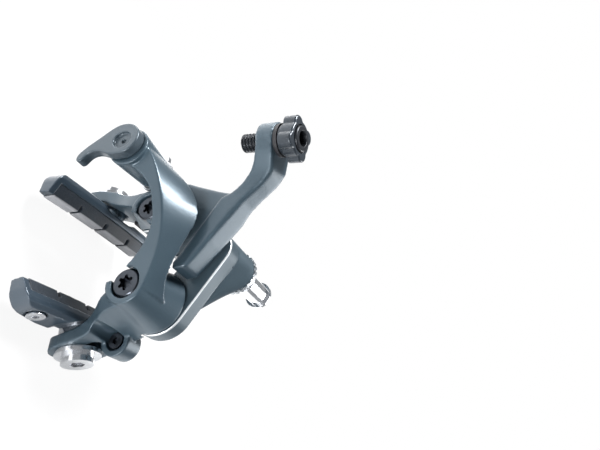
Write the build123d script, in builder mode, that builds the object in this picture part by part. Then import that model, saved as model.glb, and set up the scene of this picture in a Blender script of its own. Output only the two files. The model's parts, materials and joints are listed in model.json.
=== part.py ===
"""Road bicycle caliper brake with two pivots, cartridge brake shoes and a quick release.

Millimetres. The origin is on the axis of the mounting stud, at the face that meets the
bicycle. Z is up, the front of the brake looks along -Y, and +X is the side of the long arm.
Depths are counted forward from the mounting face, so a depth of 20 is the plane y = -20.
"""

import os
from math import cos, pi, radians, sin, tan

from build123d import *

os.makedirs("parts", exist_ok=True)

# Fits
RUNNING_FIT = 0.05          # radial clearance of a turning or sliding fit
SIDE_GAP = 0.1              # end float beside a turning piece
SWEEP_GAP = 0.5             # clearance where one piece swings past another

# Mounting stud, its washer and sleeve nut
STUD_RADIUS = 3.0
STUD_FRONT = 10.0           # depth of the stud's end inside the bridge
STUD_REACH = 17.0           # how far the stud stands behind the mounting face
STUD_CHAMFER = 0.6
WASHER_RADIUS = 7.5
WASHER_THICKNESS = 1.6
WASHER_TEETH = 24
TOOTH_GAP = 0.9
TOOTH_DEPTH = 0.35
NUT_RADIUS = 4.0
NUT_FLANGE_RADIUS = 5.0
NUT_FLANGE_THICKNESS = 1.6
NUT_START = 6.5             # distance behind the mounting face
NUT_END = 21.4
NUT_HEX = 5.0
NUT_CHAMFER = 0.5

# Pivots
PIVOT_X = 14.2
PIVOT_Z = -19.5
PIN_RADIUS = 3.0
PIN_END = 9.6               # depth of the pin's rear end, inside the bridge
PIN_HEAD_RADIUS = 4.4
PIN_HEAD_HEIGHT = 2.4
PIN_RECESS_RADIUS = 4.8
PIN_CHAMFER = 0.5
PIN_SOCKET_RADIUS = 1.7
PIN_SOCKET_DEPTH = 1.8
PIN_FLUTE_PLACE = 1.9       # radius on which the socket's six flutes lie
PIN_FLUTE_RADIUS = 0.6
HEAD_SINK = 3.0             # how deep the pin's head sits below the hub's face
BUSH_RADIUS = 3.9
THRUST_THICKNESS = 0.8
THRUST_RADIUS = 6.0

# Bridge behind the arms
BRIDGE_FRONT = 15.5
BRIDGE_BACK = 9.0
CONE_RADIUS = 7.2
WING_RADIUS = 10.4
CROWN_X = -3.0
CROWN_Z = -2.0
CROWN_RADIUS = 6.6
ROOT_INSET = 3.0            # how much smaller the cone's root is than the plate

# Tunnel for the tyre, through bridge and hubs
TUNNEL_TOP = -12.5
TUNNEL_SHOULDER_X = 7.8
TUNNEL_SHOULDER_Z = -18.6
TUNNEL_SIDE_X = 13.6
TUNNEL_SIDE_Z = -28.0
TUNNEL_FLOOR = -62.0
TUNNEL_DEPTH = 60.0

# Hubs of the arms
HUB_BACK = BRIDGE_FRONT + THRUST_THICKNESS + SIDE_GAP
HUB_BACK_RADIUS = 10.4
HUB_FRONT_RADIUS = 6.5
LONG_HUB_FRONT = 33.5
SHORT_HUB_FRONT = 28.5

# Polar stations round a point below the tyre's top shape the arch and both legs
CENTRE_X = -4.0
CENTRE_Z = -42.0
ARCH_BACK = 30.0

# Lower legs of both arms
LEG_BACK = 8.5
LEG_FRONT = 24.6
LEG_END_Z = -46.0
SLOT_WIDTH = 6.6
SLOT_TOP = -36.5
SLOT_BOTTOM = -48.5

# Short arm: a web over its hub, and a bar up to the cable adjuster
WEB_FRONT = 24.5
BAR_FRONT = 26.5
BAR_BACK = HUB_BACK + 0.2
BAR_RISE = 7.3              # how far the bar swings forward to the eyelet
TIP_X = 8.0
TIP_Z = -7.4
TIP_RADIUS = 2.0

# Shoe bolt, square to the leg
SHOE_TILT = 8.0             # degrees that the opened arm lifts the bolt's outer end
SHOE_X = 25.6
SHOE_DEPTH = 16.5
SHOE_Z = -45.3
SHOE_BOLT_RADIUS = 3.0
SHOE_THREAD_RADIUS = 2.5
LEG_OUTER = 2.4             # the leg's faces, along the bolt from its middle
LEG_INNER = -2.1
SEAT_RADIUS = 7.4
SPACER_THICKNESS = 1.4
SPACER_RADIUS = 7.0
BOLT_HEAD_RADIUS = 4.9
BOLT_HEAD_HEIGHT = 2.6
BOLT_HEX = 4.0
BOLT_HEX_DEPTH = 2.0
DISH_RADIUS = 6.4
DISH_THICKNESS = 1.0        # at the bolt
DOME_THICKNESS = 2.0        # at the bolt
DOME_SPHERE = 22.0

# Brake shoe, in its own frame: outward along the bolt, and up across the shoe
SHOE_PITCH = 1.4            # degrees that the shoe's front end dips
RIM_RADIUS = 305.0          # the shoe follows the wheel's rim
SHOE_AHEAD = 29.0
SHOE_BEHIND = 18.0
HOLDER_HIGH = 6.8
HOLDER_LOW = -4.6
HOLDER_OUT = 2.2
HOLDER_LIP = -2.0           # where holder and pad meet on the outside
CHANNEL_FLOOR = -0.9
LIP_WALL = 1.2
PAD_FACE = -6.3
PAD_FACE_HIGH = 4.7
PAD_FACE_LOW = 0.2
FRONT_WALL = 2.6
FRONT_WALL_FACE = -5.9
SHOE_FRONT_ROUND = 5.0
SHOE_BACK_ROUND = 4.0
POCKET_RADIUS = 8.2
POCKET_FLARE = 3.4
NOSE_CUT = ((8.0, -4.9), (30.0, -0.4), (30.0, -12.0), (8.0, -12.0))
GROOVE_PLACES = (-8.3, 3.8, 15.8)
GROOVE_WIDTH = 1.1
GROOVE_DEPTH = 2.4
RETAINER_AHEAD = 19.8
RETAINER_HIGH = 1.6
RETAINER_RADIUS = 1.5
RETAINER_HEAD_RADIUS = 2.7
RETAINER_HEAD_HEIGHT = 1.4
RETAINER_SINK = 0.4          # how far the head stands out of the holder
RETAINER_GAP = 0.4           # play round the head in its counterbore

# Cable adjuster on the short arm
ADJUSTER_LEAN = 13.5        # degrees that the adjuster leans towards the middle
ADJUSTER_NOD = 7.0          # degrees that it leans towards the front
ADJUSTER_X = -31.3          # the middle of its eyelet
ADJUSTER_Z = 22.3
ADJUSTER_DEPTH = 28.0
EYELET_RADIUS = 5.9
EYELET_BOTTOM = -2.8        # heights along the adjuster's axis from that middle
EYELET_TOP = 3.2
BARREL_RADIUS = 3.1
BARREL_BORE = 1.4
BARREL_SOCKET = 2.5
BARREL_BOTTOM = -10.0
BARREL_TOP = 11.2
SOCKET_DEEP = 8.0
FLANGE_RADIUS = 4.2
FLANGE_HEIGHT = 1.8
SEAL_HEIGHT = 1.3
SEAL_RADIUS = 5.4
SKIRT_RADIUS = 5.0
SKIRT_HEIGHT = 1.4
LOBE_RADIUS = 7.4
LOBE_WIDTH = 5.2
LOBE_HEIGHT = 4.4
LOBE_TURN = 40.0
LOBE_ROUND = 0.7
LOBE_STAND = 1.6             # how far the lobes stand out of the nut
NUT_RECESS_GAP = 0.4         # play round the barrel's flange in the nut
SEAL_GAP = 0.2

# Quick release on the long arm
RELEASE_X = -25.2
RELEASE_Z = -17.6
RELEASE_BOSS_RADIUS = 6.6
RELEASE_BOSS_BACK_RADIUS = 5.4
RELEASE_BOSS_BACK = 31.0
RELEASE_BOSS_FRONT = 45.8
RELEASE_SHAFT_RADIUS = 4.0
LEVER_DISC_RADIUS = 5.5
LEVER_DISC_SHIFT = -0.6      # the disc's middle, sideways from the shaft
LEVER_THICKNESS = 3.2
LEVER_BACK_EDGE = ((-5.9, -2.7), (-4.6, -5.3), (-2.6, -8.4), (-0.7, -11.5), (1.1, -13.9))
LEVER_TIP = ((2.8, -15.3), (4.5, -15.2), (4.8, -13.9))
LEVER_PALM_EDGE = ((3.4, -12.4), (2.3, -10.5), (2.3, -8.6), (3.1, -6.5), (4.3, -4.0))
LEVER_ROUND = 0.35
ANCHOR_FLANGE_RADIUS = 6.0
ANCHOR_FLANGE_THICKNESS = 1.2
ANCHOR_OFFSET = 1.6
ANCHOR_RADIUS = 2.0
ANCHOR_THREAD = 5.0
ANCHOR_HEAD_RADIUS = 2.9
ANCHOR_HEAD_HEIGHT = 1.5
CLAMP_THICKNESS = 1.4
CLAMP_LENGTH = 10.4
CLAMP_WIDTH = 7.0
CLAMP_ROUND = 1.2
CLAMP_SHIFT = 1.2            # the plate's middle, sideways from its bolt
CABLE_RADIUS = 0.8
LEVER_GAP = 0.3
LEVER_DISH = 1.0
LEVER_DISH_RADIUS = 3.0

# Return spring and its seats, centering screw
SPRING_WIRE = 1.8
SPRING_DEPTH = 7.6
SPRING_SEAT_X = 21.4
SPRING_SEAT_Z = -34.4
SPRING_SEAT_SIZE = 4.4
SPRING_SEAT_ROUND = 0.8
WIRE_GAP = 0.15              # play of the wire in its seat
SPRING_SEAT_FLOOR = 12.2
CENTERING_X = 25.4
CENTERING_Z = -32.0
CENTERING_RADIUS = 1.5
CENTERING_BACK = 8.8
CENTERING_SEAT = 14.8
CENTERING_HEAD_RADIUS = 2.4
CENTERING_HEAD_HEIGHT = 1.6
CENTERING_HEAD_GAP = 0.7
SMALL_HEX = 2.0             # socket of the centering and retaining screws
SMALL_HEX_DEPTH = 1.3
LOBE_BACK = 9.8
LOBE_FRONT = 16.8
SCREW_LOBE_RADIUS = 5.0


def front(depth):
    """The plane at a depth, seen from the front: X to the right, Z up."""
    return Plane.XZ.offset(depth)


def radial(angle, side=1):
    """The upright plane through the arch's centre; its axes are the radius and the depth."""
    across = side * sin(radians(angle))
    up = cos(radians(angle))
    return Plane(origin=(side * CENTRE_X, 0, CENTRE_Z), x_dir=(across, 0, up), z_dir=(up, 0, -across))


def leg_stations(root_front):
    """Sections of a leg from its hub to its end: angle, then front inner, front outer,
    back outer and back inner corner, each as radius and depth."""
    rise = root_front - LEG_FRONT
    return (
        (46, (26.0, root_front), (33.5, root_front), (38.2, HUB_BACK), (25.0, HUB_BACK)),
        (55, (24.8, LEG_FRONT + 0.82 * rise), (30.5, LEG_FRONT + 0.82 * rise), (35.2, 15.0), (25.0, 15.0)),
        (65, (24.4, LEG_FRONT + 0.48 * rise), (28.6, LEG_FRONT + 0.48 * rise), (32.2, 12.6), (25.0, 12.6)),
        (77, (25.0, LEG_FRONT + 0.07 * rise), (29.6, LEG_FRONT + 0.07 * rise), (31.2, 10.0), (25.4, 10.0)),
        (90, (27.0, LEG_FRONT), (31.3, LEG_FRONT), (32.0, LEG_BACK), (27.4, LEG_BACK)),
        (102, (29.0, LEG_FRONT), (33.0, LEG_FRONT), (33.4, LEG_BACK), (29.2, LEG_BACK)),
        (114, (32.4, LEG_FRONT), (36.4, LEG_FRONT), (36.6, LEG_BACK), (32.6, LEG_BACK)),
    )


# The adjuster's axis leans towards the middle and the front
adjuster_way = Vector(tan(radians(ADJUSTER_LEAN)), -tan(radians(ADJUSTER_NOD)), 1).normalized()
adjuster_middle = Vector(ADJUSTER_X, -ADJUSTER_DEPTH, ADJUSTER_Z)
adjuster_axis = Axis(adjuster_middle, adjuster_way)


def up_adjuster(height):
    """The plane square to the adjuster's axis, a height along it from the eyelet's middle."""
    return Plane(origin=adjuster_middle + adjuster_way * height, x_dir=(0, -1, 0), z_dir=adjuster_way)


eyelet_low = adjuster_middle + adjuster_way * EYELET_BOTTOM
eyelet_high = adjuster_middle + adjuster_way * EYELET_TOP

# The bolt of the right-hand shoe points outward along bolt_way
bolt_way = Vector(cos(radians(SHOE_TILT)), 0, sin(radians(SHOE_TILT)))
bolt_middle = Vector(SHOE_X, -SHOE_DEPTH, SHOE_Z)


def across_bolt(distance):
    """The plane square to the shoe bolt, a distance outward from the leg's middle."""
    return Plane(origin=bolt_middle + bolt_way * distance, x_dir=(0, -1, 0), z_dir=bolt_way)


# The shoe's own frame: x outward along the bolt, y up across the shoe, z ahead
shoe_up = Vector(-sin(radians(SHOE_TILT)), 0, cos(radians(SHOE_TILT)))
shoe_ahead = Vector(0, -1, 0) * cos(radians(SHOE_PITCH)) - shoe_up * sin(radians(SHOE_PITCH))
stack_end = LEG_INNER - DISH_THICKNESS - DOME_THICKNESS
shoe = Plane(origin=bolt_middle + bolt_way * stack_end, x_dir=bolt_way, z_dir=shoe_ahead)
rim_centre = shoe.origin - shoe.y_dir * RIM_RADIUS
rim_axis = Axis(rim_centre, bolt_way)


def along_rim(distance):
    """The section plane of the shoe, a distance ahead of its bolt along the rim."""
    turn = distance / RIM_RADIUS
    up = shoe.y_dir * cos(turn) + shoe.z_dir * sin(turn)
    ahead = shoe.z_dir * cos(turn) - shoe.y_dir * sin(turn)
    return Plane(origin=rim_centre + up * RIM_RADIUS, x_dir=bolt_way, z_dir=ahead)


# Tyre tunnel, a tool that clears the bridge and both hubs
with BuildPart() as tunnel:
    with BuildSketch(front(0)):
        with BuildLine():
            Line((-TUNNEL_SIDE_X, TUNNEL_FLOOR), (-TUNNEL_SIDE_X, TUNNEL_SIDE_Z))
            Spline(
                (-TUNNEL_SIDE_X, TUNNEL_SIDE_Z),
                (-TUNNEL_SHOULDER_X, TUNNEL_SHOULDER_Z),
                (0, TUNNEL_TOP),
                (TUNNEL_SHOULDER_X, TUNNEL_SHOULDER_Z),
                (TUNNEL_SIDE_X, TUNNEL_SIDE_Z),
                tangents=((0, 1), (0, -1)),
            )
            Line((TUNNEL_SIDE_X, TUNNEL_SIDE_Z), (TUNNEL_SIDE_X, TUNNEL_FLOOR))
            Line((TUNNEL_SIDE_X, TUNNEL_FLOOR), (-TUNNEL_SIDE_X, TUNNEL_FLOOR))
        make_face()
    extrude(amount=TUNNEL_DEPTH)

# Bridge: a plate with two wings that carries the pivots, and a cone down to the mounting face
root_x = PIVOT_X - ROOT_INSET
root_z = PIVOT_Z + ROOT_INSET
with BuildPart() as bridge:
    with BuildSketch(front(WASHER_THICKNESS)):
        Circle(CONE_RADIUS)
    with BuildSketch(front(BRIDGE_BACK)):
        with Locations((-root_x, root_z), (root_x, root_z)):
            Circle(WING_RADIUS - ROOT_INSET)
        with Locations((CROWN_X, CROWN_Z)):
            Circle(CROWN_RADIUS)
        make_hull()
    loft()
    with BuildSketch(front(BRIDGE_BACK)):
        with Locations((-PIVOT_X, PIVOT_Z), (PIVOT_X, PIVOT_Z)):
            Circle(WING_RADIUS)
        with Locations((CROWN_X, CROWN_Z)):
            Circle(CROWN_RADIUS)
        make_hull()
    extrude(amount=BRIDGE_FRONT - BRIDGE_BACK)
    add(tunnel.part, mode=Mode.SUBTRACT)
    with BuildSketch(front(0)):
        Circle(STUD_RADIUS)
    extrude(amount=STUD_FRONT, mode=Mode.SUBTRACT)
    with BuildSketch(front(PIN_END)):
        with Locations((-PIVOT_X, PIVOT_Z), (PIVOT_X, PIVOT_Z)):
            Circle(PIN_RADIUS)
    extrude(amount=BRIDGE_FRONT, mode=Mode.SUBTRACT)
bridge.part.label = "bridge"

# Mounting stud, serrated washer and sleeve nut
with BuildPart() as mounting_stud:
    with BuildSketch(front(-STUD_REACH)):
        Circle(STUD_RADIUS)
    extrude(amount=STUD_REACH + STUD_FRONT)
    chamfer(mounting_stud.edges().group_by(Axis.Y)[-1], length=STUD_CHAMFER)
mounting_stud.part.label = "mounting_stud"

with BuildPart() as mounting_washer:
    with BuildSketch(front(0)):
        Circle(WASHER_RADIUS)
        with PolarLocations(WASHER_RADIUS, WASHER_TEETH):
            Rectangle(2 * TOOTH_DEPTH, TOOTH_GAP, mode=Mode.SUBTRACT)
        Circle(STUD_RADIUS, mode=Mode.SUBTRACT)
    extrude(amount=WASHER_THICKNESS)
mounting_washer.part.label = "mounting_washer"

with BuildPart() as sleeve_nut:
    with BuildSketch(front(-NUT_END)):
        Circle(NUT_FLANGE_RADIUS)
    extrude(amount=NUT_FLANGE_THICKNESS)
    with BuildSketch(front(-NUT_END)):
        Circle(NUT_RADIUS)
    extrude(amount=NUT_END - NUT_START)
    chamfer(sleeve_nut.edges().group_by(Axis.Y)[-1], length=NUT_CHAMFER)
    with BuildSketch(front(-STUD_REACH)):
        Circle(STUD_RADIUS)
    extrude(amount=STUD_REACH - NUT_START, mode=Mode.SUBTRACT)
    with BuildSketch(front(-NUT_END)):
        RegularPolygon(NUT_HEX / 2, 6, major_radius=False)
    extrude(amount=NUT_END - STUD_REACH, mode=Mode.SUBTRACT)
sleeve_nut.part.label = "sleeve_nut"

# Long arm: arch over the tyre, pivot hub and leg
FAR_ARCH = (
    (-48, (27.0, 45.6), (37.2, 45.6), (37.6, 34.5), (28.2, 34.5)),
    (-34, (28.6, 44.8), (37.0, 44.8), (37.9, 32.0), (29.2, 31.5)),
    (-20, (31.4, 42.5), (35.9, 42.5), (40.2, ARCH_BACK), (31.2, ARCH_BACK)),
    (-8, (31.6, 39.8), (35.0, 39.8), (41.9, ARCH_BACK), (31.0, ARCH_BACK)),
)
NEAR_ARCH = (
    (-8, (31.6, 39.8), (35.0, 39.8), (41.9, ARCH_BACK), (31.0, ARCH_BACK)),
    (3, (31.0, 37.6), (34.5, 37.6), (40.6, ARCH_BACK), (30.6, ARCH_BACK)),
    (13, (29.3, 35.8), (34.2, 35.8), (38.2, ARCH_BACK), (29.0, ARCH_BACK)),
    (24, (27.0, 34.4), (34.2, 34.4), (37.0, 29.0), (26.8, 29.0)),
    (36, (25.0, LONG_HUB_FRONT), (35.3, LONG_HUB_FRONT), (38.0, 24.0), (25.0, 24.0)),
)

# Lower legs of the arms, each with a slot and two seats for its shoe bolt
leg_shapes = []
for root_front in (LONG_HUB_FRONT - 0.5, SHORT_HUB_FRONT - 0.5):
    with BuildPart() as leg:
        for angle, *corners in leg_stations(root_front):
            with BuildSketch(radial(angle)):
                with BuildLine():
                    Polyline(*corners, close=True)
                make_face()
        loft()
        with BuildSketch(Plane.YZ.offset(CENTRE_X)):
            with Locations((-(LEG_FRONT + LEG_BACK) / 2, LEG_END_Z)):
                Circle((LEG_FRONT - LEG_BACK) / 2)
            with Locations((-LEG_FRONT, LEG_END_Z)):
                Rectangle(TUNNEL_DEPTH, TUNNEL_DEPTH, align=(Align.CENTER, Align.MIN))
        extrude(amount=TUNNEL_DEPTH, mode=Mode.INTERSECT)
        with BuildSketch(across_bolt(LEG_INNER - SLOT_WIDTH)):
            with Locations((0, SHOE_Z - (SLOT_TOP + SLOT_BOTTOM) / 2)):
                SlotOverall(SLOT_TOP - SLOT_BOTTOM, SLOT_WIDTH, rotation=90)
        extrude(amount=4 * SLOT_WIDTH, mode=Mode.SUBTRACT)
        with BuildSketch(across_bolt(LEG_OUTER)):
            Circle(SEAT_RADIUS)
        extrude(amount=SEAT_RADIUS, mode=Mode.SUBTRACT)
        with BuildSketch(across_bolt(LEG_INNER)):
            Circle(SEAT_RADIUS)
        extrude(amount=-SEAT_RADIUS, mode=Mode.SUBTRACT)
        with BuildSketch(front(0)):
            with Locations((SPRING_SEAT_X, SPRING_SEAT_Z)):
                RectangleRounded(SPRING_SEAT_SIZE, SPRING_SEAT_SIZE, SPRING_SEAT_ROUND)
        extrude(amount=SPRING_SEAT_FLOOR, mode=Mode.SUBTRACT)
        with BuildSketch(front(0)):
            with Locations((PIVOT_X, PIVOT_Z)):
                Circle(WING_RADIUS + SWEEP_GAP)
        extrude(amount=HUB_BACK, mode=Mode.SUBTRACT)
    leg_shapes.append(leg.part)
long_leg, short_leg = leg_shapes

# Long arm: an arch over the tyre from the quick release to the pivot hub, and its leg
with BuildPart() as c_arm:
    for angle, *corners in FAR_ARCH:
        with BuildSketch(radial(angle)):
            with BuildLine():
                Polyline(*corners, close=True)
            make_face()
    loft()
    for angle, *corners in NEAR_ARCH:
        with BuildSketch(radial(angle)):
            with BuildLine():
                Polyline(*corners, close=True)
            make_face()
    loft()
    add(long_leg)
    with BuildSketch(front(LOBE_BACK)):
        with Locations((CENTERING_X, CENTERING_Z)):
            Circle(SCREW_LOBE_RADIUS)
    extrude(amount=LOBE_FRONT - LOBE_BACK)
    with BuildSketch(front(0)):
        with Locations((SPRING_SEAT_X, SPRING_SEAT_Z)):
            RectangleRounded(SPRING_SEAT_SIZE, SPRING_SEAT_SIZE, SPRING_SEAT_ROUND)
    extrude(amount=SPRING_SEAT_FLOOR, mode=Mode.SUBTRACT)
    with BuildSketch(front(HUB_BACK)):
        with Locations((PIVOT_X, PIVOT_Z)):
            Circle(HUB_BACK_RADIUS)
    with BuildSketch(front(LONG_HUB_FRONT)):
        with Locations((PIVOT_X, PIVOT_Z)):
            Circle(HUB_FRONT_RADIUS)
    loft()
    with BuildSketch(front(RELEASE_BOSS_BACK)):
        with Locations((RELEASE_X, RELEASE_Z)):
            Circle(RELEASE_BOSS_BACK_RADIUS)
    with BuildSketch(front(RELEASE_BOSS_FRONT)):
        with Locations((RELEASE_X, RELEASE_Z)):
            Circle(RELEASE_BOSS_RADIUS)
    loft()
    add(tunnel.part, mode=Mode.SUBTRACT)
    with BuildSketch(front(HUB_BACK - SIDE_GAP)):
        with Locations((PIVOT_X, PIVOT_Z)):
            Circle(BUSH_RADIUS)
    extrude(amount=TUNNEL_DEPTH, mode=Mode.SUBTRACT)
    with BuildSketch(front(LONG_HUB_FRONT - HEAD_SINK)):
        with Locations((PIVOT_X, PIVOT_Z)):
            Circle(PIN_RECESS_RADIUS)
    extrude(amount=TUNNEL_DEPTH, mode=Mode.SUBTRACT)
    with BuildSketch(front(0)):
        with Locations((RELEASE_X, RELEASE_Z)):
            Circle(RELEASE_SHAFT_RADIUS + RUNNING_FIT)
    extrude(amount=TUNNEL_DEPTH, mode=Mode.SUBTRACT)
    with BuildSketch(front(0)):
        with Locations((CENTERING_X, CENTERING_Z)):
            Circle(CENTERING_RADIUS)
    extrude(amount=CENTERING_SEAT, mode=Mode.SUBTRACT)
    with BuildSketch(front(CENTERING_SEAT)):
        with Locations((CENTERING_X, CENTERING_Z)):
            Circle(CENTERING_HEAD_RADIUS + CENTERING_HEAD_GAP)
    extrude(amount=TUNNEL_DEPTH, mode=Mode.SUBTRACT)
c_arm.part.label = "c_arm"

# Short arm: a bar up to the adjuster's eyelet, a web over its hub, and its leg
with BuildPart() as bar:
    with BuildSketch(front(BAR_BACK)):
        with BuildLine():
            Polyline(
                (TIP_X, TIP_Z + TIP_RADIUS),
                (-12.0, 12.7),
                (-15.0, 16.4),
                (-17.2, 19.4),
                (-19.6, 22.2),
                (-22.5, 24.4),
                (-27.0, eyelet_high.Z + 1.6),
                (eyelet_high.X, eyelet_high.Z + 1.6),
                (eyelet_low.X, eyelet_low.Z),
                (-27.6, eyelet_low.Z - 0.9),
                (-25.1, 17.8),
                (-23.2, 16.9),
                (-21.0, 15.4),
                (-17.9, 12.0),
                (-15.9, 9.0),
                (-14.6, 5.0),
                (TIP_X - TIP_RADIUS, TIP_Z - TIP_RADIUS),
                (TIP_X, TIP_Z - TIP_RADIUS),
                close=True,
            )
        make_face()
    extrude(amount=BAR_FRONT + BAR_RISE - BAR_BACK)
    with BuildSketch(Plane.XY.offset(TIP_Z - 2 * TIP_RADIUS)):
        with BuildLine():
            Spline(
                (eyelet_low.X, -(BAR_FRONT + BAR_RISE)),
                (-24.0, -(BAR_FRONT + 0.62 * BAR_RISE)),
                (-14.0, -BAR_FRONT),
                tangents=((1, 0), (1, 0.05)),
            )
            Polyline(
                (-14.0, -BAR_FRONT),
                (TIP_X + TIP_RADIUS, -BAR_FRONT + 0.6),
                (TIP_X + TIP_RADIUS, -BAR_BACK),
                (-8.0, -BAR_BACK),
            )
            Spline(
                (-8.0, -BAR_BACK),
                (-16.0, -BAR_BACK - 0.3 * BAR_RISE),
                (-26.0, -BAR_BACK - 0.5 * BAR_RISE),
                (eyelet_low.X, -ADJUSTER_DEPTH + EYELET_RADIUS),
            )
            Line((eyelet_low.X, -ADJUSTER_DEPTH + EYELET_RADIUS), (eyelet_low.X, -(BAR_FRONT + BAR_RISE)))
        make_face()
    extrude(amount=eyelet_high.Z - TIP_Z + 3 * TIP_RADIUS, mode=Mode.INTERSECT)

with BuildPart() as y_arm:
    add(bar.part)
    with BuildSketch(up_adjuster(EYELET_BOTTOM)):
        Circle(EYELET_RADIUS)
    extrude(amount=EYELET_TOP - EYELET_BOTTOM)
    with BuildSketch(front(HUB_BACK)):
        with BuildLine():
            Polyline(
                (-PIVOT_X - HUB_BACK_RADIUS + 0.2, PIVOT_Z),
                (-23.6, -8.0),
                (-18.4, 3.5),
                (-16.8, 8.0),
                (0.0, 2.0),
                (4.4, -6.5),
                (2.0, -12.0),
                (-8.0, -19.0),
                close=True,
            )
        make_face()
    extrude(amount=WEB_FRONT - HUB_BACK)
    with BuildSketch(front(HUB_BACK)):
        with Locations((-PIVOT_X, PIVOT_Z)):
            Circle(HUB_BACK_RADIUS)
    with BuildSketch(front(SHORT_HUB_FRONT)):
        with Locations((-PIVOT_X, PIVOT_Z)):
            Circle(HUB_FRONT_RADIUS)
    loft()
    add(mirror(short_leg, about=Plane.YZ))
    add(tunnel.part, mode=Mode.SUBTRACT)
    with BuildSketch(front(HUB_BACK - SIDE_GAP)):
        with Locations((-PIVOT_X, PIVOT_Z)):
            Circle(BUSH_RADIUS)
    extrude(amount=TUNNEL_DEPTH, mode=Mode.SUBTRACT)
    with BuildSketch(front(SHORT_HUB_FRONT - HEAD_SINK)):
        with Locations((-PIVOT_X, PIVOT_Z)):
            Circle(PIN_RECESS_RADIUS)
    extrude(amount=TUNNEL_DEPTH, mode=Mode.SUBTRACT)
    with BuildSketch(up_adjuster(BARREL_BOTTOM)):
        Circle(BARREL_RADIUS + RUNNING_FIT)
    extrude(amount=EYELET_TOP - BARREL_BOTTOM, mode=Mode.SUBTRACT)
    with BuildSketch(up_adjuster(EYELET_TOP)):
        Circle(3 * EYELET_RADIUS)
    extrude(amount=EYELET_RADIUS, mode=Mode.SUBTRACT)
y_arm.part.label = "y_arm"

# Pivots: a headed pin in the bridge, a bush in the arm and a thrust washer between them
pivot_parts = []
for side, name, hub_front in ((PIVOT_X, "right", LONG_HUB_FRONT), (-PIVOT_X, "left", SHORT_HUB_FRONT)):
    seat = hub_front - HEAD_SINK
    with BuildPart() as pivot_pin:
        with BuildSketch(front(PIN_END)):
            with Locations((side, PIVOT_Z)):
                Circle(PIN_RADIUS)
        extrude(amount=seat + SIDE_GAP - PIN_END)
        with BuildSketch(front(seat + SIDE_GAP)):
            with Locations((side, PIVOT_Z)):
                Circle(PIN_HEAD_RADIUS)
        extrude(amount=PIN_HEAD_HEIGHT)
        chamfer(pivot_pin.edges().group_by(Axis.Y)[0], length=PIN_CHAMFER)
        with BuildSketch(front(seat + SIDE_GAP + PIN_HEAD_HEIGHT)):
            with Locations((side, PIVOT_Z)):
                Circle(PIN_SOCKET_RADIUS)
                with PolarLocations(PIN_FLUTE_PLACE, 6):
                    Circle(PIN_FLUTE_RADIUS)
        extrude(amount=-PIN_SOCKET_DEPTH, mode=Mode.SUBTRACT)
    pivot_pin.part.label = name + "_pivot_pin"
    with BuildPart() as bush:
        with BuildSketch(front(HUB_BACK)):
            with Locations((side, PIVOT_Z)):
                Circle(BUSH_RADIUS)
                Circle(PIN_RADIUS + RUNNING_FIT, mode=Mode.SUBTRACT)
        extrude(amount=seat - HUB_BACK)
    bush.part.label = name + "_bush"
    with BuildPart() as thrust_washer:
        with BuildSketch(front(BRIDGE_FRONT)):
            with Locations((side, PIVOT_Z)):
                Circle(THRUST_RADIUS)
                Circle(PIN_RADIUS, mode=Mode.SUBTRACT)
        extrude(amount=THRUST_THICKNESS)
    thrust_washer.part.label = name + "_thrust_washer"
    pivot_parts += [pivot_pin.part, bush.part, thrust_washer.part]

# Return spring: one bent wire behind the bridge, held by a plastic seat on each leg
with BuildPart() as return_spring:
    with BuildLine() as wire_path:
        Spline(
            (-SPRING_SEAT_X, -SPRING_DEPTH, SPRING_SEAT_Z - 3.0),
            (-SPRING_SEAT_X, -SPRING_DEPTH, SPRING_SEAT_Z),
            (-SPRING_SEAT_X, -SPRING_DEPTH, SPRING_SEAT_Z + 3.0),
            (-15.6, -SPRING_DEPTH, -28.0),
            (-9.8, -SPRING_DEPTH, -25.0),
            (-5.8, -SPRING_DEPTH, -19.6),
            (0.0, -SPRING_DEPTH, -14.4),
            (5.8, -SPRING_DEPTH, -19.6),
            (9.8, -SPRING_DEPTH, -25.0),
            (15.6, -SPRING_DEPTH, -28.0),
            (SPRING_SEAT_X, -SPRING_DEPTH, SPRING_SEAT_Z + 3.0),
            (SPRING_SEAT_X, -SPRING_DEPTH, SPRING_SEAT_Z),
            (SPRING_SEAT_X, -SPRING_DEPTH, SPRING_SEAT_Z - 3.0),
            tangents=((0, 0, 1), (0, 0, -1)),
        )
    with BuildSketch(Plane(origin=wire_path.line @ 0, z_dir=wire_path.line % 0)):
        Circle(SPRING_WIRE / 2)
    sweep()
return_spring.part.label = "return_spring"

with BuildPart() as spring_seat:
    with BuildSketch(front(SPRING_DEPTH - SPRING_WIRE)):
        with Locations((SPRING_SEAT_X, SPRING_SEAT_Z)):
            RectangleRounded(SPRING_SEAT_SIZE, SPRING_SEAT_SIZE, SPRING_SEAT_ROUND)
    extrude(amount=SPRING_SEAT_FLOOR - SPRING_DEPTH + SPRING_WIRE)
    with BuildSketch(front(0)):
        with Locations((SPRING_SEAT_X, SPRING_SEAT_Z)):
            Rectangle(SPRING_WIRE + 2 * WIRE_GAP, 2 * SPRING_SEAT_SIZE)
    extrude(amount=SPRING_DEPTH + SPRING_WIRE / 2 + 0.1, mode=Mode.SUBTRACT)
spring_seat.part.label = "right_spring_seat"

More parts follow.
